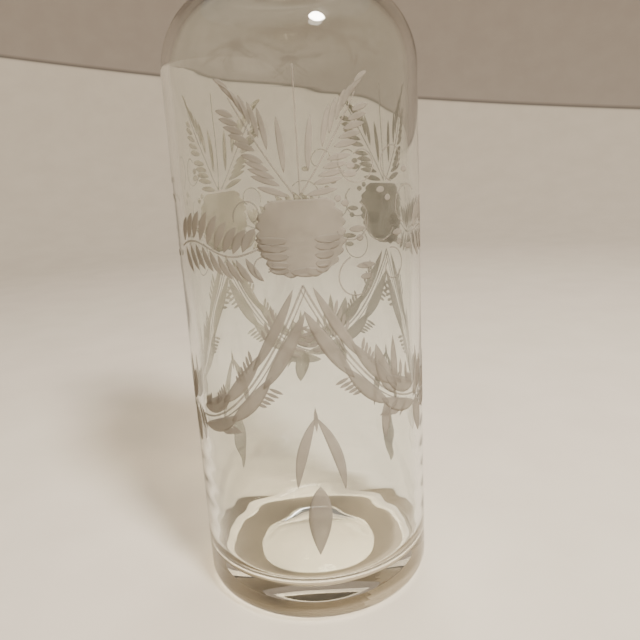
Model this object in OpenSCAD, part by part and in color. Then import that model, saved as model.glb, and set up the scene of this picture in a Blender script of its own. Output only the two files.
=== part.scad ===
// Swing-top growler: a straight-sided glass bottle that holds about a quart,
// closed by a porcelain stopper on a wire toggle.
// The origin is the centre of the base, +Z is up, and the thumb loop is on the -Y side.

/* [Body] */
// Outside diameter of the glass
body_d = 86; // [70:1:110]
// Height of the straight side
side_h = 185; // [120:1:240]
// Outside radius of the round shoulder
shoulder_r = 28.5; // [24:0.5:32]
// Outside radius at the bottom edge
heel_r = 5.5; // [3:0.5:8]
// Thickness of the side
wall = 3.2; // [2.5:0.1:5]
// Thickness of the base
floor_t = 11; // [6:0.5:16]
// Inside radius where the side meets the floor
floor_r = 9; // [5:0.5:14]
// Radius of the hollow under the base
push_r = 22.5; // [15:0.5:30]
// Height of the hollow under the base
push_h = 2.5; // [1:0.5:4]

/* [Neck] */
// Outside diameter of the neck
neck_d = 26; // [24:0.5:28]
// Diameter of the mouth
mouth_d = 18; // [17:0.5:19]
// Height of the lip above the shoulder
neck_h = 49; // [46:0.5:70]
// Outside radius where the neck meets the shoulder
blend_r = 10; // [6:0.5:14]
// Outside diameter of the lip
lip_d = 29; // [27:0.5:30]
// Height of the lip
lip_h = 9; // [7:0.5:10]
// Rounding of the lip's outer edges
lip_round = 2; // [1:0.25:3]
// Rounding of the mouth's edge
mouth_round = 1.2; // [0.5:0.1:1.5]

/* [Closure] */
// Diameter of the lever and bail wire
wire_d = 2.5; // [2:0.1:3]
// Diameter of the neck wire
collar_d = 2.2; // [1.8:0.1:2.6]
// Distance from the lever's pivot to the bail's hooks
crank = 12; // [11:0.5:13]
// Length of the thumb loop
grip_l = 23; // [20:0.5:26]
// How far the thumb loop leans out from the neck, in degrees
grip_lean = 60; // [50:1:60]
// Diameter of the stopper's head
head_d = 22; // [20:0.5:24]
// Height of the stopper's head
head_h = 12.8; // [11:0.1:14]
// Diameter of the stopper's boss
boss_d = 10; // [9:0.5:11]
// Diameter of the knob inside the mouth
knob_d = 11.6; // [11:0.1:12]
// Depth of the knob below the lip
knob_h = 4.2; // [3:0.1:4.5]
// Diameter of the washer
gasket_d = 23; // [21:0.5:25]
// Thickness of the washer
gasket_t = 3.2; // [2.5:0.1:4]

/* [Hidden] */
$fn = 96;

// Running clearance round a wire, and the gap between neighbours that don't touch
fit = 0.08;
gap = 0.35;
seat = 0.05;

// How far a cutting shape reaches past what it cuts
over = 1;

// Rounding of the stopper's head, of its knob and of the washer
head_low_round = 1.5;
head_high_round = 4.5;
knob_low_round = 3;
knob_high_round = 0.5;
gasket_round = 0.8;

// How far up the head the bail runs through it, as a share of its height
cross_share = 0.45;

// How much wider the inside blend at the neck is than the outside one
blend_step = 3;

body_r = body_d / 2;
neck_r = neck_d / 2;
mouth_r = mouth_d / 2;
lip_r = lip_d / 2;
wire_r = wire_d / 2;
collar_r = collar_d / 2;
head_r = head_d / 2;
boss_r = boss_d / 2;
knob_r = knob_d / 2;

// The inside and outside shoulders share one centre
shoulder_x = body_r - shoulder_r;
mouth_blend_r = blend_r + blend_step;
lip_z = side_h + shoulder_r + neck_h;

// Heights of the three hinges: the lever on the neck, the bail on the lever,
// and the stopper on the bail
lever_z = lip_z - lip_h - gap - collar_r;
hook_z = lever_z - crank;
cross_z = lip_z + gasket_t + head_h * cross_share;

// Planes of the neck wire's eyes, the lever and the bail, counted outward
ring_r = neck_r + collar_r + seat;
pin_x = ring_r + collar_r + gap;
eye_x = pin_x + collar_r;
lever_x = eye_x + collar_r + gap + wire_r;
bail_x = lever_x + 2 * wire_r + gap;
hook_x = lever_x - wire_r - gap;

// Radii of the eyes, from the hinge to the middle of the wire
collar_eye_r = wire_r + fit + collar_r;
lever_eye_r = 2 * wire_r + fit;

// Bends of the thumb loop and of the bail
grip_bend = 12;
bail_bend = 8;

// Height at which a blend between a neck and the shoulder's arc ends
function blend_z(arc, neck, blend) = side_h + sqrt(pow(arc + blend, 2) - pow(neck + blend - shoulder_x, 2));

// Half outline of a bottle shape: straight side, round shoulder, blended neck
module vessel_outline(arc, low, corner, neck, blend, high) {
    side = shoulder_x + arc;
    top = blend_z(arc, neck, blend);
    share = arc / (arc + blend);
    intersection() {
        square([side, high]);
        union() {
            translate([0, low + corner]) square([side, side_h - low - corner]);
            translate([0, low]) square([side - corner, side_h - low]);
            translate([side - corner, low + corner]) circle(corner);
            translate([shoulder_x, side_h]) circle(arc);
            translate([0, side_h]) square([shoulder_x, arc]);
            square([neck, high]);
            difference() {
                polygon([
                    [0, side_h],
                    [shoulder_x + share * (neck + blend - shoulder_x), side_h + share * (top - side_h)],
                    [neck + blend, top],
                    [0, top]
                ]);
                translate([neck + blend, top]) circle(blend);
            }
        }
    }
}

// Half outline of a disc with round edges: the lip, and the stopper's parts
module round_disc(radius, height, low_round, high_round) {
    intersection() {
        square([radius, height]);
        union() {
            translate([0, low_round]) square([radius, height - low_round - high_round]);
            square([radius - low_round, low_round * 2]);
            translate([0, height - high_round * 2]) square([radius - high_round, high_round * 2]);
            translate([radius - low_round, low_round]) circle(low_round);
            translate([radius - high_round, height - high_round]) circle(high_round);
        }
    }
}

module bottle() {
    // The sphere that hollows the underside
    push_sphere = (push_r * push_r + push_h * push_h) / (2 * push_h);
    color([0.86, 0.90, 0.86, 0.35])
    rotate_extrude() {
        difference() {
            union() {
                vessel_outline(shoulder_r, 0, heel_r, neck_r, blend_r, lip_z - lip_round);
                translate([0, lip_z - lip_h]) round_disc(lip_r, lip_h, lip_round, lip_round);
            }
            vessel_outline(shoulder_r - wall, floor_t, floor_r, mouth_r, mouth_blend_r, lip_z + over);
            difference() {
                translate([0, lip_z - mouth_round]) square([mouth_r + mouth_round, mouth_round + over]);
                translate([mouth_r + mouth_round, lip_z - mouth_round]) circle(mouth_round);
            }
            intersection() {
                translate([0, push_h - push_sphere]) circle(push_sphere);
                square([push_r + over, push_h + over]);
            }
        }
    }
}

// A straight length of wire along +Z
module bar(radius, length) {
    cylinder(r = radius, h = length);
}

// A straight length of wire along +X
module cross_bar(radius, length) {
    rotate([0, 90, 0]) cylinder(r = radius, h = length);
}

// A quarter bend in the XZ plane, from +X round to +Z, about the origin
module quarter_bend(radius, bend) {
    rotate([90, 0, 0]) rotate_extrude(angle = 90) translate([bend, 0]) circle(radius);
}

// A closed eye round the X axis
module eye(radius, ring) {
    rotate([0, 90, 0]) rotate_extrude() translate([ring, 0]) circle(radius);
}

// A shape and its mirror image on the other side of the neck
module both_sides() {
    children();
    mirror([1, 0, 0]) children();
}

module collar_wire() {
    color([0.55, 0.55, 0.53])
    translate([0, 0, lever_z]) {
        rotate_extrude() translate([ring_r, 0]) circle(collar_r);
        both_sides() {
            translate([eye_x, 0, 0]) eye(collar_r, collar_eye_r);
            for (side = [-1, 1]) {
                translate([ring_r, side * collar_eye_r, 0]) cross_bar(collar_r, eye_x - ring_r);
            }
        }
    }
}

// The thumb loop hangs from the eyes along -Z before it is leaned out
module thumb_loop() {
    both_sides() {
        translate([lever_x, 0, grip_bend - grip_l]) bar(wire_r, grip_l - grip_bend - lever_eye_r);
        translate([lever_x - grip_bend, 0, grip_bend - grip_l])
        mirror([0, 0, 1])
        quarter_bend(wire_r, grip_bend);
        translate([0, 0, -grip_l]) cross_bar(wire_r, lever_x - grip_bend);
    }
}

module lever_wire() {
    color([0.62, 0.62, 0.60])
    translate([0, 0, lever_z]) {
        both_sides() {
            translate([pin_x, 0, 0]) cross_bar(wire_r, lever_x - pin_x);
            translate([lever_x, 0, 0]) sphere(wire_r);
            translate([lever_x, 0, lever_eye_r - crank]) bar(wire_r, crank - lever_eye_r);
            translate([lever_x, 0, -crank]) eye(wire_r, lever_eye_r);
        }
        translate([0, 0, -crank]) rotate([-grip_lean, 0, 0]) thumb_loop();
    }
}

module bail_wire() {
    rise = cross_z - hook_z;
    color([0.62, 0.62, 0.60])
    translate([0, 0, hook_z])
    both_sides() {
        translate([hook_x, 0, 0]) cross_bar(wire_r, bail_x - hook_x);
        translate([bail_x, 0, 0]) sphere(wire_r);
        translate([bail_x, 0, 0]) bar(wire_r, rise - bail_bend);
        translate([bail_x - bail_bend, 0, rise - bail_bend]) quarter_bend(wire_r, bail_bend);
        translate([0, 0, rise]) cross_bar(wire_r, bail_x - bail_bend);
    }
}

module stopper() {
    head_z = lip_z + seat + gasket_t + seat;
    color([0.93, 0.91, 0.86])
    difference() {
        rotate_extrude() {
            translate([0, head_z]) round_disc(head_r, head_h, head_low_round, head_high_round);
            // The boss runs a little way into the knob and the head, which joins the three
            translate([0, lip_z - seat]) square([boss_r, gasket_t + 4 * seat]);
            translate([0, lip_z - knob_h]) round_disc(knob_r, knob_h, knob_low_round, knob_high_round);
        }
        translate([-head_r - over, 0, cross_z]) cross_bar(wire_r + fit, head_d + 2 * over);
    }
}

module gasket() {
    color([0.72, 0.25, 0.16])
    translate([0, 0, lip_z + seat])
    rotate_extrude() {
        difference() {
            round_disc(gasket_d / 2, gasket_t, gasket_round, gasket_round);
            translate([0, -over]) square([boss_r + seat, gasket_t + 2 * over]);
        }
    }
}

bottle();
collar_wire();
lever_wire();
bail_wire();
stopper();
gasket();
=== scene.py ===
"""Swing-top growler: blown glass with wheel-cut thistles, ferns and swags, wire closure.

Everything is in metres in the CAD frame: +Z up, origin at the centre of the base, thumb loop
at -Y. Places on the glass are given as (angle in degrees from the front, height).
"""
from math import atan2, cos, degrees, pi, radians, sin, sqrt
import bpy
from mathutils import Matrix, Vector


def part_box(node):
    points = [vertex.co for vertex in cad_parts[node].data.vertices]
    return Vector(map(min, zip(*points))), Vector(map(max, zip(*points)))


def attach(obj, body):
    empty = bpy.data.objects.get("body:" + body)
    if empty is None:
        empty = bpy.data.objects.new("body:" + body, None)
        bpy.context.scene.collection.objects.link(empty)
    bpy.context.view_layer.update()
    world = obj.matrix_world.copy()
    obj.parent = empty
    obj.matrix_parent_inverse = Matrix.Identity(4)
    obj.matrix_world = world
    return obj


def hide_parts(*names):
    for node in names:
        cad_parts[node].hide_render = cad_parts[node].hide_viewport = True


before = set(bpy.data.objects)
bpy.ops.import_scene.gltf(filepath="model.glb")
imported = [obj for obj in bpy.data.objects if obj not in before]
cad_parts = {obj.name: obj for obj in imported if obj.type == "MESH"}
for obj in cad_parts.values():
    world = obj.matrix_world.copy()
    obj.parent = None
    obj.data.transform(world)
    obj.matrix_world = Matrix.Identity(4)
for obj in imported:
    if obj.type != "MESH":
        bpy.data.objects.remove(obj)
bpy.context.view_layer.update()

MM = 0.001

# The CAD's own sizes
BOTTLE_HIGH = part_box("bottle")[1]
BODY_R = BOTTLE_HIGH[0]
LIP_Z = BOTTLE_HIGH[2]

# The glass
SKIN = 0.13 * MM                   # room that the cuts take inside the CAD's outline
GLASS_R = BODY_R - SKIN
SIDE_H = 185 * MM
SHOULDER_R = 28.5 * MM - SKIN
HEEL_R = 5.5 * MM
WALL = 3.2 * MM
FLOOR_T = 11 * MM
FLOOR_R = 9 * MM
PUSH_R = 22.5 * MM
PUSH_H = 2.5 * MM
NECK_R = 13 * MM - 0.05 * MM
MOUTH_R = 9 * MM
BLEND_R = 10 * MM
MOUTH_BLEND_R = 13 * MM
LIP_R = 14.5 * MM
LIP_H = 9 * MM
LIP_ROUND = 2 * MM
MOUTH_ROUND = 1.2 * MM
SHOULDER_X = GLASS_R - SHOULDER_R
LIP_FILLET = 0.4 * MM              # under the lip, where it meets the neck
CROWN = 1.4 * MM                   # rise in the middle of the floor
AROUND = 224                       # vertices in each ring

# Unevenness of the glass: depths, and the stretch of rings near the floor
OUTER_SWELL = 0.05 * MM
INNER_SWELL = 0.12 * MM
RING_LOW = 14 * MM
RING_SPAN = 62 * MM
RING_DEPTH = 0.045 * MM
RING_PITCH = 1.35 * MM

# The stage
PAPER = (0.74, 0.665, 0.565)
WALL_COLOUR = (0.40, 0.345, 0.295)
# painted shadow: the colour of a thin dark line along the paper's edge, standing in for the shade where the
# paper ends
EDGE_SHADOW_COLOUR = (0.16, 0.14, 0.12)
PAPER_EDGE = 0.308                 # how high the paper reaches
PAPER_TILT = 0.14                  # and how much lower its edge gets to the right
SWEEP_R = 1.5
FLOOR_END = 0.9
SWEEP_TOP = 1.6


# ---------------------------------------------------------------- materials

class Nodes:
    """A material's node tree, with short calls to add and join its nodes."""

    def __init__(self, name):
        self.material = bpy.data.materials.new(name)
        self.material.use_nodes = True
        self.tree = self.material.node_tree
        self.tree.nodes.clear()
        self.output = self.tree.nodes.new("ShaderNodeOutputMaterial")
        self.place = self.add("ShaderNodeTexCoord").outputs["Object"]

    def add(self, kind, links=None, values=None, **settings):
        node = self.tree.nodes.new(kind)
        for name, value in settings.items():
            setattr(node, name, value)
        for name, value in (values or {}).items():
            node.inputs[name].default_value = value
        for name, source in (links or {}).items():
            self.tree.links.new(source, node.inputs[name])
        return node

    def noise(self, scale, detail=3.0, stretch=(1, 1, 1)):
        spread = self.add("ShaderNodeMapping", {"Vector": self.place}, {"Scale": stretch})
        noise = self.add("ShaderNodeTexNoise", {"Vector": spread.outputs["Vector"]},
                         {"Scale": scale, "Detail": detail})
        return noise.outputs["Fac"]

    def ramp(self, source, low, high, low_at=0.35, high_at=0.65):
        ramp = self.add("ShaderNodeValToRGB", {"Fac": source})
        ramp.color_ramp.elements[0].position = low_at
        ramp.color_ramp.elements[1].position = high_at
        ramp.color_ramp.elements[0].color = (*low, 1)
        ramp.color_ramp.elements[1].color = (*high, 1)
        return ramp.outputs["Color"]

    def bump(self, source, distance, strength=1.0):
        bump = self.add("ShaderNodeBump", {"Height": source}, {"Distance": distance, "Strength": strength})
        return bump.outputs["Normal"]

    def finish(self, shader):
        self.tree.links.new(shader, self.output.inputs["Surface"])
        return self.material


def glass_material():
    """Old blown glass: faintly green, with slow ripples. Lamps shine straight through it, a little dimmed."""
    nodes = Nodes("old_glass")
    ripple = nodes.noise(28, 2, (1, 1, 0.35))
    seed = nodes.noise(320, 1)
    normal = nodes.bump(ripple, 0.0007, 0.5)
    tint = nodes.ramp(seed, (0.938, 0.958, 0.930), (0.958, 0.972, 0.950))
    shader = nodes.add("ShaderNodeBsdfPrincipled", {"Normal": normal, "Base Color": tint},
                       {"Roughness": 0.015, "IOR": 1.5, "Transmission Weight": 1.0})
    passing = nodes.add("ShaderNodeBsdfTransparent", values={"Color": (0.73, 0.71, 0.66, 1)})
    path = nodes.add("ShaderNodeLightPath")
    mix = nodes.add("ShaderNodeMixShader", {0: path.outputs["Is Shadow Ray"], 1: shader.outputs["BSDF"],
                                            2: passing.outputs["BSDF"]})
    return nodes.finish(mix.outputs["Shader"])


def cut_material(name, low, high, cover):
    """Matt wheel-cut glass: a pale ground surface that lets part of the light through."""
    nodes = Nodes(name)
    grain = nodes.noise(900, 4)
    cloud = nodes.noise(60, 3)
    colour = nodes.ramp(cloud, low, high)
    normal = nodes.bump(grain, 0.00006, 0.6)
    shader = nodes.add("ShaderNodeBsdfPrincipled", {"Normal": normal, "Base Color": colour},
                       {"Roughness": 0.8, "IOR": 1.45, "Specular IOR Level": 0.25, "Alpha": cover})
    return nodes.finish(shader.outputs["BSDF"])


def wire_material(name, low, high, worn):
    """Drawn and tinned wire: fine lengthwise lines, dull spots and darker grime."""
    nodes = Nodes(name)
    spots = nodes.noise(420, 5)
    dull = nodes.noise(90, 3)
    colour = nodes.ramp(spots, low, high, 0.3, 0.6)
    rough = nodes.add("ShaderNodeMapRange", {"Value": dull}, {"To Min": worn - 0.1, "To Max": worn + 0.16})
    normal = nodes.bump(spots, 0.00004, 0.5)
    shader = nodes.add("ShaderNodeBsdfPrincipled",
                       {"Base Color": colour, "Roughness": rough.outputs["Result"], "Normal": normal},
                       {"Metallic": 1.0})
    return nodes.finish(shader.outputs["BSDF"])


def multiply(nodes, first, second):
    """The product of two colours."""
    mix = nodes.add("ShaderNodeMix", data_type="RGBA", blend_type="MULTIPLY")
    mix.inputs[0].default_value = 1.0
    nodes.tree.links.new(first, mix.inputs[6])
    nodes.tree.links.new(second, mix.inputs[7])
    return mix.outputs[2]


def porcelain_material():
    """White glazed porcelain, a little cream, with faint crazing and clouding."""
    nodes = Nodes("porcelain")
    cells = nodes.add("ShaderNodeTexVoronoi", {"Vector": nodes.place}, {"Scale": 420.0},
                      feature="DISTANCE_TO_EDGE")
    craze = nodes.ramp(cells.outputs["Distance"], (0.80, 0.75, 0.66), (0.88, 0.86, 0.80), 0.0, 0.03)
    cloud = nodes.ramp(nodes.noise(130, 4), (0.90, 0.88, 0.83), (1.0, 1.0, 1.0))
    shader = nodes.add("ShaderNodeBsdfPrincipled", {"Base Color": multiply(nodes, craze, cloud)},
                       {"Roughness": 0.16, "IOR": 1.5, "Coat Weight": 0.6, "Coat Roughness": 0.05})
    return nodes.finish(shader.outputs["BSDF"])


def rubber_material():
    """Red washer rubber, matt, bloomed and slightly rough."""
    nodes = Nodes("red_rubber")
    bloom = nodes.noise(260, 4)
    grain = nodes.noise(1500, 2)
    colour = nodes.ramp(bloom, (0.36, 0.055, 0.03), (0.50, 0.12, 0.07))
    normal = nodes.bump(grain, 0.00006, 0.7)
    shader = nodes.add("ShaderNodeBsdfPrincipled", {"Base Color": colour, "Normal": normal},
                       {"Roughness": 0.72, "IOR": 1.5})
    return nodes.finish(shader.outputs["BSDF"])


def stage_material():
    """Pale paper that ends some way up behind, with a dull wall above its edge and a painted shadow: a thin
    dark line along that edge.
    """
    nodes = Nodes("stage_paper")
    spot = nodes.add("ShaderNodeSeparateXYZ", {"Vector": nodes.place})
    tilt = nodes.add("ShaderNodeMath", {0: spot.outputs["X"]}, {1: PAPER_TILT}, operation="MULTIPLY")
    height = nodes.add("ShaderNodeMath", {0: spot.outputs["Z"], 1: tilt.outputs[0]}, operation="ADD")
    band = nodes.ramp(height.outputs[0], PAPER, WALL_COLOUR, PAPER_EDGE, PAPER_EDGE + 0.012)
    # painted shadow: a dark stop just above the paper's edge draws a thin shade line between the paper and
    # the wall
    band.node.color_ramp.elements.new(PAPER_EDGE + 0.004).color = (*EDGE_SHADOW_COLOUR, 1)
    fibre = nodes.ramp(nodes.noise(24, 5), (0.955, 0.95, 0.945), (1.0, 1.0, 1.0))
    shader = nodes.add("ShaderNodeBsdfPrincipled", {"Base Color": multiply(nodes, band, fibre)},
                       {"Roughness": 0.9})
    return nodes.finish(shader.outputs["BSDF"])


GLASS = glass_material()
CUT = cut_material("wheel_cut", (0.235, 0.208, 0.172), (0.32, 0.285, 0.24), 0.66)
LINE = cut_material("fine_cut", (0.235, 0.208, 0.172), (0.31, 0.275, 0.23), 0.50)
WIRE = wire_material("tinned_wire", (0.33, 0.31, 0.28), (0.62, 0.61, 0.58), 0.30)
COLLAR = wire_material("dull_wire", (0.24, 0.22, 0.19), (0.50, 0.48, 0.44), 0.40)
PORCELAIN = porcelain_material()
RUBBER = rubber_material()


# ---------------------------------------------------------------- meshes

def add_piece(name, verts, faces, material):
    """A smooth-shaded mesh that rides on the bottle."""
    mesh = bpy.data.meshes.new(name)
    mesh.from_pydata(verts, [], faces)
    mesh.materials.append(material)
    mesh.polygons.foreach_set("use_smooth", [True] * len(mesh.polygons))
    piece = bpy.data.objects.new(name, mesh)
    bpy.context.scene.collection.objects.link(piece)
    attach(piece, "bottle")
    return piece


def arc(centre, radius, start, end, count):
    """Points on a circle in the (radius, height) plane, angles in degrees."""
    points = []
    for step in range(count + 1):
        angle = radians(start + (end - start) * step / count)
        points.append((centre[0] + radius * cos(angle), centre[1] + radius * sin(angle)))
    return points


def straight(start, end, count):
    """Points between two places, without the first."""
    return [tuple(a + (b - a) * step / count for a, b in zip(start, end)) for step in range(1, count + 1)]


def shoulder(radius, neck, blend):
    """The round shoulder and its blend into a neck, from the side up."""
    top = SIDE_H + sqrt((radius + blend) ** 2 - (neck + blend - SHOULDER_X) ** 2)
    turn = degrees(atan2(top - SIDE_H, neck + blend - SHOULDER_X))
    into_neck = arc((neck + blend, top), blend, turn + 180, 180, 12)
    return arc((SHOULDER_X, SIDE_H), radius, 0, turn, 30) + into_neck[1:]


def swell(angle, height, low, high, depth):
    """Slow unevenness of hand-blown glass: 0 at both ends of a stretch, depth at the most."""
    share = (height - low) / (high - low)
    if not 0 < share < 1:
        return 0.0
    wave = sin(2 * angle + 1.3 + 21 * share) + 0.7 * sin(3 * angle - 14 * share)
    wave += 0.5 * sin(5 * angle + 43 * share)
    return depth * min(1, 8 * share, 8 * (1 - share)) * wave / 2.2


def ripples(angle, height):
    """Rings left near the floor on the inside by the mould."""
    rise = (height - RING_LOW) / RING_SPAN
    if not 0 < rise < 1:
        return 0.0
    return RING_DEPTH * sin(pi * rise) * sin(height / RING_PITCH + 1.5 * sin(angle))


def make_bottle():
    """One closed skin: up the outside, over the lip and down the inside."""
    push_sphere = (PUSH_R ** 2 + PUSH_H ** 2) / (2 * PUSH_H)
    push_turn = degrees(atan2(PUSH_R, push_sphere - PUSH_H))
    outside = arc((0, PUSH_H - push_sphere), push_sphere, 90, 90 - push_turn, 12)
    outside += straight(outside[-1], (GLASS_R - HEEL_R, 0), 4)
    outside += arc((GLASS_R - HEEL_R, HEEL_R), HEEL_R, -90, 0, 12)[1:]
    outside += straight(outside[-1], (GLASS_R, SIDE_H), 60)
    outside += shoulder(SHOULDER_R, NECK_R, BLEND_R)[1:]
    lip_low = LIP_Z - LIP_H
    outside += straight(outside[-1], (NECK_R, lip_low - LIP_FILLET), 8)
    outside += arc((NECK_R + LIP_FILLET, lip_low - LIP_FILLET), LIP_FILLET, 180, 90, 4)[1:]
    outside += arc((LIP_R - LIP_ROUND, lip_low + LIP_ROUND), LIP_ROUND, -90, 0, 8)
    outside += arc((LIP_R - LIP_ROUND, LIP_Z - LIP_ROUND), LIP_ROUND, 0, 90, 8)
    rim = arc((MOUTH_R + MOUTH_ROUND, LIP_Z - MOUTH_ROUND), MOUTH_ROUND, 90, 180, 6)

    inside_arc = SHOULDER_R - WALL
    side = SHOULDER_X + inside_arc
    inside = [(0, FLOOR_T + CROWN)]
    for step in range(1, 13):
        share = step / 12
        inside.append(((side - FLOOR_R) * share, FLOOR_T + CROWN * (1 - share * share) ** 2))
    inside += arc((side - FLOOR_R, FLOOR_T + FLOOR_R), FLOOR_R, -90, 0, 12)[1:]
    inside += straight(inside[-1], (side, SIDE_H), 110)
    inside += shoulder(inside_arc, MOUTH_R, MOUTH_BLEND_R)[1:]
    inside += straight(inside[-1], rim[-1], 8)[:-1]

    outline = [(r, z, "out") for r, z in outside + rim] + [(r, z, "in") for r, z in reversed(inside)]
    verts, faces, rings = [], [], []
    for radius, height, skin in outline:
        if radius < 1e-7:
            rings.append([len(verts)])
            verts.append((0, 0, height))
            continue
        rings.append(range(len(verts), len(verts) + AROUND))
        for step in range(AROUND):
            angle = 2 * pi * step / AROUND
            if skin == "out":
                r = radius - abs(swell(angle, height, HEEL_R, LIP_Z - LIP_H, OUTER_SWELL))
            else:
                r = radius + swell(angle + 0.8, height, FLOOR_T + 2 * MM, LIP_Z - LIP_H, INNER_SWELL)
                r += ripples(angle, height)
            verts.append((r * cos(angle), r * sin(angle), height))
    for low, high in zip(rings, rings[1:]):
        for step in range(AROUND):
            following = (step + 1) % AROUND
            if len(low) == 1:
                faces.append((low[0], high[following], high[step]))
            elif len(high) == 1:
                faces.append((low[step], low[following], high[0]))
            else:
                faces.append((low[step], low[following], high[following], high[step]))
    bottle = add_piece("bottle_glass", verts, faces, GLASS)
    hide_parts("bottle")
    return bottle


# ---------------------------------------------------------------- wheel cuts

R = GLASS_R
RIM = 0.085 * MM                   # how far a cut's raised edge stands off the glass
BED = 0.030 * MM                   # the bottom of its groove
UNDER = 0.008 * MM                 # its underside, just clear of the glass
POINT = 0.012 * MM                 # half the width of a leaf's tip


def flat(place):
    """(angle, height in body radii) to distances on the unrolled side."""
    return Vector((radians(place[0]) * R, place[1] * R))


def wrapped(spot, lift, turn):
    """A spot on the unrolled side, back on the glass, turned round the bottle."""
    angle = spot.x / R + radians(turn)
    return ((R + lift) * sin(angle), -(R + lift) * cos(angle), spot.y)


class Cuts:
    """Collects the closed, thin cuts of one piece."""

    def __init__(self, turn):
        self.turn = turn
        self.verts = []
        self.faces = []

    def ribbon(self, middle, widths, across=4):
        """A cut along a line of spots, with a half width at each."""
        first = len(self.verts)
        count = len(middle)
        for side in ("top", "under"):
            for index, spot in enumerate(middle):
                before, after = middle[max(0, index - 1)], middle[min(count - 1, index + 1)]
                along = (after - before).normalized()
                normal = Vector((-along.y, along.x))
                for step in range(across + 1):
                    share = 2 * step / across - 1
                    lift = UNDER if side == "under" else BED + (RIM - BED) * share * share
                    self.verts.append(wrapped(spot + normal * widths[index] * share, lift, self.turn))
        row = across + 1
        layer = first + count * row
        for index in range(count - 1):
            for step in range(across):
                a = first + index * row + step
                self.faces.append((a, a + row, a + row + 1, a + 1))
                b = layer + index * row + step
                self.faces.append((b, b + 1, b + row + 1, b + row))
            a, b = first + index * row, layer + index * row
            self.faces.append((a, b, b + row, a + row))
            a, b = a + across, b + across
            self.faces.append((a, a + row, b + row, b))
        for index in (0, count - 1):
            for step in range(across):
                a, b = first + index * row + step, layer + index * row + step
                self.faces.append((a, a + 1, b + 1, b) if index == 0 else (a, b, b + 1, a + 1))

    def leaf(self, start, end, width, bow=0.0, blunt=1.0, belly=1.0, steps=10):
        """A lens-shaped cut. width and bow are in body radii; belly under 1 moves its widest part."""
        start, end = flat(start), flat(end)
        along = end - start
        normal = Vector((-along.y, along.x)).normalized()
        middle, widths = [], []
        for step in range(steps + 1):
            share = step / steps
            middle.append(start + along * share + normal * bow * R * 4 * share * (1 - share))
            fullness = max(0.0, sin(pi * share ** belly)) ** blunt
            widths.append(max(width * R / 2 * fullness, POINT))
        self.ribbon(middle, widths)

    def blade(self, places, width, blunt=0.7):
        """A leaf that follows a bent line of places."""
        count = len(places) - 1
        widths = []
        for step in range(count + 1):
            fullness = max(0.0, sin(pi * step / count)) ** blunt
            widths.append(max(width * R / 2 * fullness, POINT))
        self.ribbon([flat(place) for place in places], widths)

    def line(self, places, width):
        """A fine line through places that are already close together."""
        self.ribbon([flat(place) for place in places], [width * R / 2] * len(places), across=2)

    def ray(self, start, direction, length, width, **shape):
        """A leaf from a place, in a direction in degrees up from the right."""
        turned = radians(direction)
        end = (start[0] + degrees(length * cos(turned)), start[1] + length * sin(turned))
        self.leaf(start, end, width, **shape)

    def finish(self, name, material):
        return add_piece(name, self.verts, self.faces, material)


def curve(start, end, sag, count):
    """Places along a line that sags below the straight way by a share of its own width."""
    places = []
    for step in range(count + 1):
        share = step / count
        places.append((start[0] + (end[0] - start[0]) * share,
                       start[1] + (end[1] - start[1]) * share - sag * 4 * share * (1 - share)))
    return places


def wobble(index, size):
    """The small unevenness of work done by eye, the same on every run."""
    return size * sin(12.9898 * index + 1.7)


def head_width(share):
    """Half width of a seed head in body radii, from its flat top (0) to its foot (1), scalloped."""
    full = 0.19 + 0.10 * min(1, share / 0.26)
    if share > 0.5:
        full = 0.29 - 0.13 * ((share - 0.5) / 0.5) ** 2.2
    return full + 0.030 * abs(sin(7.5 * pi * share)) - 0.05 * max(0, share - 0.94) / 0.06


def thistle(turn, name):
    """The seed head: a smooth crown that breaks into rows of wide, wavy cuts lower down."""
    cuts = Cuts(turn)
    top, foot, rows, across = 3.395, 2.885, 40, 22
    for side in ("top", "under"):
        for row in range(rows + 1):
            share = row / rows
            for step in range(across + 1):
                over = 2 * step / across - 1
                sag = 0.018 * share * cos(pi * over * 1.5) - 0.02 * (1 - over * over) * share
                spot = flat((0.6 + degrees(head_width(share)) * over, top + (foot - top) * share + sag))
                depth = min(1, max(0, (share - 0.28) / 0.2))
                wave = 0.5 + 0.5 * cos(2 * pi * (7.5 * share + 0.28 * sin(5.1 * over + 9 * share)))
                lift = UNDER if side == "under" else BED + (RIM - BED) * max(wave ** 3 * depth, over ** 8)
                cuts.verts.append(wrapped(spot, lift, turn))
    wide = across + 1
    layer = (rows + 1) * wide
    for row in range(rows):
        for step in range(across):
            a = row * wide + step
            cuts.faces.append((a, a + wide, a + wide + 1, a + 1))
            cuts.faces.append((a + layer, a + layer + 1, a + layer + wide + 1, a + layer + wide))
        for step, flip in ((0, False), (across, True)):
            a = row * wide + step
            quad = (a, a + layer, a + layer + wide, a + wide)
            cuts.faces.append(quad[::-1] if flip else quad)
    for row, flip in ((0, True), (rows, False)):
        for step in range(across):
            a = row * wide + step
            quad = (a, a + layer, a + layer + 1, a + 1)
            cuts.faces.append(quad[::-1] if flip else quad)
    lobes = ((3.12, 19), (3.07, 18), (3.01, 15.5), (2.95, 14), (2.915, 13))
    for index, (height, reach) in enumerate(lobes):
        for side in (-1, 1):
            tip = 0.6 + side * (reach + wobble(index + 4 * side, 1.0)) * (1 if side < 0 else 0.9)
            cuts.leaf((0.6 + side * 5, height), (tip, height + 0.012), 0.062,
                      bow=-side * 0.01, blunt=0.55, steps=8)
    cuts.leaf((-4.5, 2.895), (8.5, 2.89), 0.072, blunt=0.5)
    return cuts.finish(name, CUT)


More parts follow.
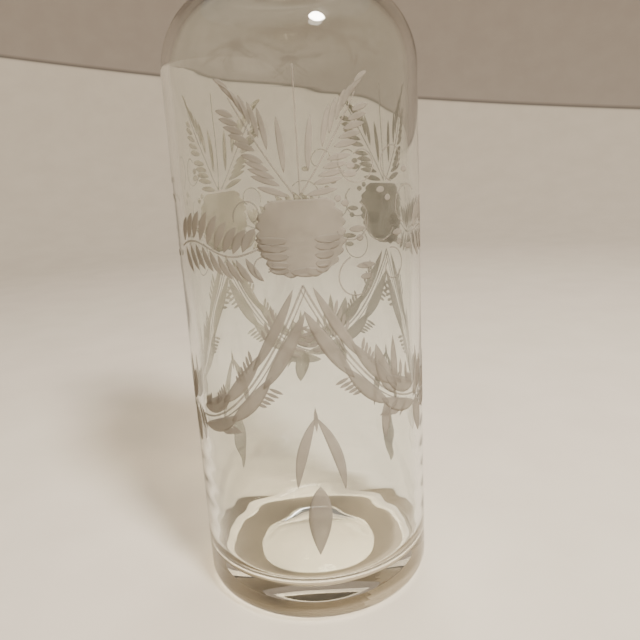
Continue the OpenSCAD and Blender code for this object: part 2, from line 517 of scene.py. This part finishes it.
def fern(cuts, lines, side):
    """One frond of the V: short level leaves outside, tall upright ones inside."""
    foot, tip = (1.0 * side, 3.42), (25.0 * side, 4.08)
    rib = curve(foot, tip, 0.02, 24)
    lines.line(rib, 0.011)
    leaves = 10
    for index in range(leaves):
        share = index / (leaves - 1)
        at = rib[int(round(0.5 + share * 20))]
        slope = (8 + 8 * share if side > 0 else 17 + 5 * share) + wobble(index + 3 * side, 3)
        length = 0.215 - 0.075 * share + wobble(2 * index + side, 0.012)
        start = (at[0] + side * 2.4, at[1] - 0.004)
        cuts.ray(start, slope if side > 0 else 180 - slope, length, 0.047, bow=side * 0.006, blunt=0.7)
    tall = ((0.17, 0.37, 7), (0.42, 0.28, 12), (0.55, 0.24, 16), (0.65, 0.21, 22), (0.73, 0.19, 27),
            (0.80, 0.17, 33), (0.87, 0.15, 40), (0.93, 0.14, 48), (0.98, 0.13, 57))
    for share, length, lean in tall:
        at = rib[int(round(share * 24))]
        upward = 90 - side * (lean + wobble(10 * share + side, 2))
        cuts.ray((at[0] - side * 0.3, at[1] + 0.055), upward, length, 0.050 - 0.016 * share,
                 bow=side * 0.006, blunt=0.6)


def ferns(turn, name):
    """The V of two fronds, with a fine line up the middle."""
    cuts, lines = Cuts(turn), Cuts(turn)
    for side in (-1, 1):
        fern(cuts, lines, side)
    lines.line(curve((1, 3.41), (1, 4.26), 0, 24), 0.009)
    cuts.finish(name, CUT)
    return lines.finish(name + "_ribs", LINE)


# A swag's blades: where each starts and ends along the rib, how far off it lies, and its width
BLADES = (
    (0.02, 0.36, 0.055, 0.080), (0.27, 0.66, 0.070, 0.105), (0.56, 0.96, 0.080, 0.125),
    (0.07, 0.40, -0.085, 0.105), (0.33, 0.68, -0.085, 0.110), (0.61, 0.98, -0.080, 0.110),
)


def swag_place(side, share):
    """A place along the swag's rib, from under the head to the low point."""
    low = 1.70 if side < 0 else 1.78
    return side * 59 * share, low + (2.80 - low) * (1 - share) ** 2.1


def beside_swag(side, share, above):
    """A place off the swag's rib, square to it; above is in body radii."""
    here, following = flat(swag_place(side, share)), flat(swag_place(side, share + 0.01))
    along = (following - here).normalized()
    spot = here + Vector((-along.y, along.x)) * side * above * R
    return degrees(spot.x / R), spot.y / R


def swag(turn, name):
    """Leafy garlands that fall from the head to a low point on each side."""
    cuts, lines = Cuts(turn), Cuts(turn)
    for side in (-1, 1):
        rib = [swag_place(side, step / 28) for step in range(29)]
        lines.line(rib, 0.016)
        lines.line([(a - side * 1.1, z - 0.03) for a, z in rib[:24]], 0.010)
        for low, high, above, width in BLADES:
            shares = [low + (high - low) * step / 14 for step in range(15)]
            cuts.blade([beside_swag(side, share, above) for share in shares], width)
        for group, count in ((0.14, 4), (0.34, 6), (0.62, 6), (0.84, 4)):
            for index in range(count):
                share = group + 0.026 * index
                turned = 74 + wobble(index, 5) if share < 0.7 else 96
                cuts.ray(beside_swag(side, share, 0.085), turned if side > 0 else 180 - turned,
                         0.115 - 0.009 * index, 0.027, blunt=0.7)
        for group, count in ((0.12, 5), (0.38, 5), (0.70, 5)):
            for index in range(count):
                turned = 196 + wobble(index, 6)
                start = beside_swag(side, group + 0.024 * index, -0.115)
                cuts.ray(start, turned if side > 0 else 180 - turned, 0.115 - 0.008 * index, 0.028, blunt=0.7)
    cuts.finish(name, CUT)
    return lines.finish(name + "_ribs", LINE)


def tie(turn, name):
    """The knot of leaves where two garlands meet, about the low point on the right."""
    cuts = Cuts(turn)
    cuts.leaf((42, 1.86), (31, 2.30), 0.130, bow=0.03, blunt=0.75, belly=0.8)
    cuts.leaf((43, 1.90), (41, 2.33), 0.070, bow=0.01)
    cuts.leaf((46, 1.96), (46, 2.12), 0.036)
    cuts.leaf((50, 1.92), (50, 2.08), 0.036)
    cuts.leaf((36, 1.84), (35, 1.52), 0.090, belly=0.85)
    cuts.leaf((44, 1.82), (38, 1.72), 0.036)
    cuts.leaf((50.5, 1.78), (44.5, 1.65), 0.036)
    cuts.leaf((57, 1.76), (66, 2.06), 0.130, bow=-0.02, blunt=0.75, belly=0.85)
    cuts.leaf((58, 1.72), (63, 1.40), 0.150, bow=0.02, blunt=0.75, belly=0.85)
    cuts.leaf((66, 1.74), (71, 1.56), 0.040)
    cuts.leaf((70, 1.74), (74, 1.58), 0.040)
    cuts.leaf((62, 1.80), (60, 2.16), 0.050)
    return cuts.finish(name, CUT)


def bent(start, knee, end, count=16):
    """Places from start to end that swing out towards a knee."""
    places = []
    for step in range(count + 1):
        share = step / count
        weights = ((1 - share) ** 2, 2 * share * (1 - share), share ** 2)
        spots = list(zip(weights, (start, knee, end)))
        places.append(tuple(sum(weight * spot[axis] for weight, spot in spots) for axis in (0, 1)))
    return places


def drop(turn, name):
    """The hanging spray under the garlands: a stem, two bent leaves and one below."""
    cuts = Cuts(turn)
    cuts.leaf((2, 1.88), (2.2, 1.68), 0.032)
    cuts.blade(bent((2.0, 1.80), (-5.6, 1.55), (-7.4, 1.22)), 0.085, 0.8)
    cuts.blade(bent((2.2, 1.80), (12.6, 1.52), (13.6, 1.18)), 0.085, 0.8)
    cuts.leaf((2.4, 1.235), (0.6, 0.645), 0.185, blunt=0.9, belly=0.82, steps=16)
    return cuts.finish(name, CUT)


def scroll(centre, start, end, first, last, count=26):
    """A spiral: angles in degrees, radii in body radii."""
    places = []
    for step in range(count + 1):
        share = step / count
        angle, radius = radians(start + (end - start) * share), first + (last - first) * share
        places.append((centre[0] + degrees(radius * cos(angle)), centre[1] + radius * sin(angle)))
    return places


# Spirals: centre, start and end in degrees, first and last radius
TENDRILS = (
    ((26, 3.62), -200, 130, 0.17, 0.07), ((21, 3.22), 60, -150, 0.15, 0.12),
    ((23.5, 2.82), 110, 430, 0.16, 0.10), ((37, 3.20), 150, 330, 0.17, 0.12),
    ((44, 3.62), 260, -60, 0.15, 0.06), ((42, 2.86), 100, -220, 0.14, 0.06),
    ((53, 3.28), 40, 250, 0.17, 0.12),
)
# Level dashes: centre and length
DASHES = (
    ((22, 3.60), 0.07), ((21.5, 3.545), 0.11), ((16, 3.385), 0.05), ((19, 3.35), 0.06),
    ((24, 3.165), 0.13), ((25, 3.10), 0.06), ((27.5, 2.90), 0.16), ((27.5, 2.82), 0.10),
    ((36, 3.42), 0.08), ((40, 3.36), 0.06), ((46, 3.10), 0.12), ((47, 3.03), 0.07),
    ((52, 3.55), 0.08), ((55, 2.98), 0.11),
)


def vine(turn, name):
    """Fine tendrils with small dashes, in the gap to the right of a head."""
    cuts, lines = Cuts(turn), Cuts(turn)
    for centre, start, end, first, last in TENDRILS:
        lines.line(scroll(centre, start, end, first, last), 0.010)
    for place, length in DASHES:
        half = degrees(length / 2)
        cuts.leaf((place[0] - half, place[1]), (place[0] + half, place[1]), 0.048, blunt=0.6)
    cuts.finish(name, CUT)
    return lines.finish(name + "_lines", LINE)


def sprig(turn, name):
    """A wavy laurel sprig in the gap to the left of a head."""
    cuts, lines = Cuts(turn), Cuts(turn)
    stem = [(-64 + 46 * step / 30, 3.06 + 0.05 * sin(2 * pi * step / 30)) for step in range(31)]
    lines.line(stem, 0.014)
    for index in range(9):
        at = stem[2 + 3 * index]
        cuts.ray((at[0], at[1] + 0.02), 62 + wobble(index, 6), 0.25 - 0.012 * abs(index - 4), 0.075,
                 bow=0.012, blunt=0.8)
        cuts.ray((at[0] + 1.2, at[1] - 0.02), -58 + wobble(index + 7, 6), 0.21, 0.060,
                 bow=-0.012, blunt=0.8)
    cuts.ray(stem[-1], 8, 0.12, 0.05, blunt=0.8)
    curls = (((-20, 3.30), 200, -60, 0.13, 0.05), ((-14.5, 2.94), 250, -70, 0.10, 0.04))
    for centre, start, end, first, last in curls:
        lines.line(scroll(centre, start, end, first, last), 0.010)
    cuts.finish(name, CUT)
    return lines.finish(name + "_lines", LINE)


def make_cuts():
    """The same work three times round the bottle."""
    for turn, place in ((0, "front"), (122, "right"), (229, "left")):
        thistle(turn, "thistle_" + place)
        ferns(turn, "ferns_" + place)
        swag(turn, "swag_" + place)
        tie(turn, "tie_" + place)
        drop(turn, "drop_" + place)
        vine(turn, "vine_" + place)
        sprig(turn, "sprig_" + place)


# ---------------------------------------------------------------- closure

def make_closure():
    """The CAD's own wires, stopper and washer, with their finishes."""
    for node, material in (("collar_wire", COLLAR), ("lever_wire", WIRE), ("bail_wire", WIRE),
                           ("stopper", PORCELAIN), ("gasket", RUBBER)):
        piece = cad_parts[node]
        piece.data.materials.clear()
        piece.data.materials.append(material)


# ---------------------------------------------------------------- scene

def make_stage():
    """A round sweep of paper with a duller wall above it."""
    bend = SWEEP_R - FLOOR_END
    outline = [(0, 0)] + straight((0, 0), (FLOOR_END, 0), 6)
    outline += arc((FLOOR_END, bend), bend, -90, 0, 20)[1:] + [(SWEEP_R, SWEEP_TOP)]
    around = 96
    verts = [(r * cos(2 * pi * step / around), r * sin(2 * pi * step / around), z)
             for r, z in outline[1:] for step in range(around)]
    faces = [tuple(range(around))]
    for row in range(len(outline) - 2):
        for step in range(around):
            following = (step + 1) % around
            a, b = row * around, (row + 1) * around
            faces.append((a + step, b + step, b + following, a + following))
    mesh = bpy.data.meshes.new("stage_sweep")
    mesh.from_pydata(verts, [], faces)
    mesh.materials.append(stage_material())
    mesh.polygons.foreach_set("use_smooth", [True] * len(mesh.polygons))
    sweep = bpy.data.objects.new("stage_sweep", mesh)
    bpy.context.scene.collection.objects.link(sweep)


def make_light(name, place, size, power, colour, aim=(0, 0, 0.1)):
    lamp = bpy.data.lights.new(name, "AREA")
    lamp.shape = "DISK"
    lamp.size = size
    lamp.energy = power
    lamp.color = colour
    holder = bpy.data.objects.new(name, lamp)
    holder.location = place
    holder.rotation_euler = (Vector(aim) - Vector(place)).to_track_quat("-Z", "Y").to_euler()
    bpy.context.scene.collection.objects.link(holder)


def make_lights():
    make_light("key", (0.38, -0.60, 0.98), 0.20, 27, (1.0, 0.94, 0.84))
    make_light("back", (0.10, 0.42, 1.15), 0.30, 6, (1.0, 0.95, 0.88))
    world = bpy.data.worlds.new("room")
    world.use_nodes = True
    world.node_tree.nodes["Background"].inputs["Color"].default_value = (0.88, 0.83, 0.78, 1)
    world.node_tree.nodes["Background"].inputs["Strength"].default_value = 0.23
    bpy.context.scene.world = world


def make_camera():
    """Looks slightly down at the front, tilted a little, close enough to lose the neck."""
    pitch, yaw, roll = radians(14.44), 0.024, -0.0554
    ahead = Vector((sin(yaw) * cos(pitch), cos(yaw) * cos(pitch), -sin(pitch)))
    right = ahead.cross(Vector((0, 0, 1))).normalized()
    up = right.cross(ahead)
    tilted = right * cos(roll) + up * sin(roll)
    upright = up * cos(roll) - right * sin(roll)
    camera = bpy.data.objects.new("camera", bpy.data.cameras.new("camera"))
    camera.data.lens = 36.44
    camera.data.clip_start = 0.01
    camera.matrix_world = Matrix.Translation((0, -5.447 * BODY_R, 3.681 * BODY_R)) @ Matrix(
        (tilted, upright, -ahead)).transposed().to_4x4()
    bpy.context.scene.collection.objects.link(camera)
    bpy.context.scene.camera = camera


make_camera()
make_bottle()
make_cuts()
make_closure()
make_stage()
make_lights()
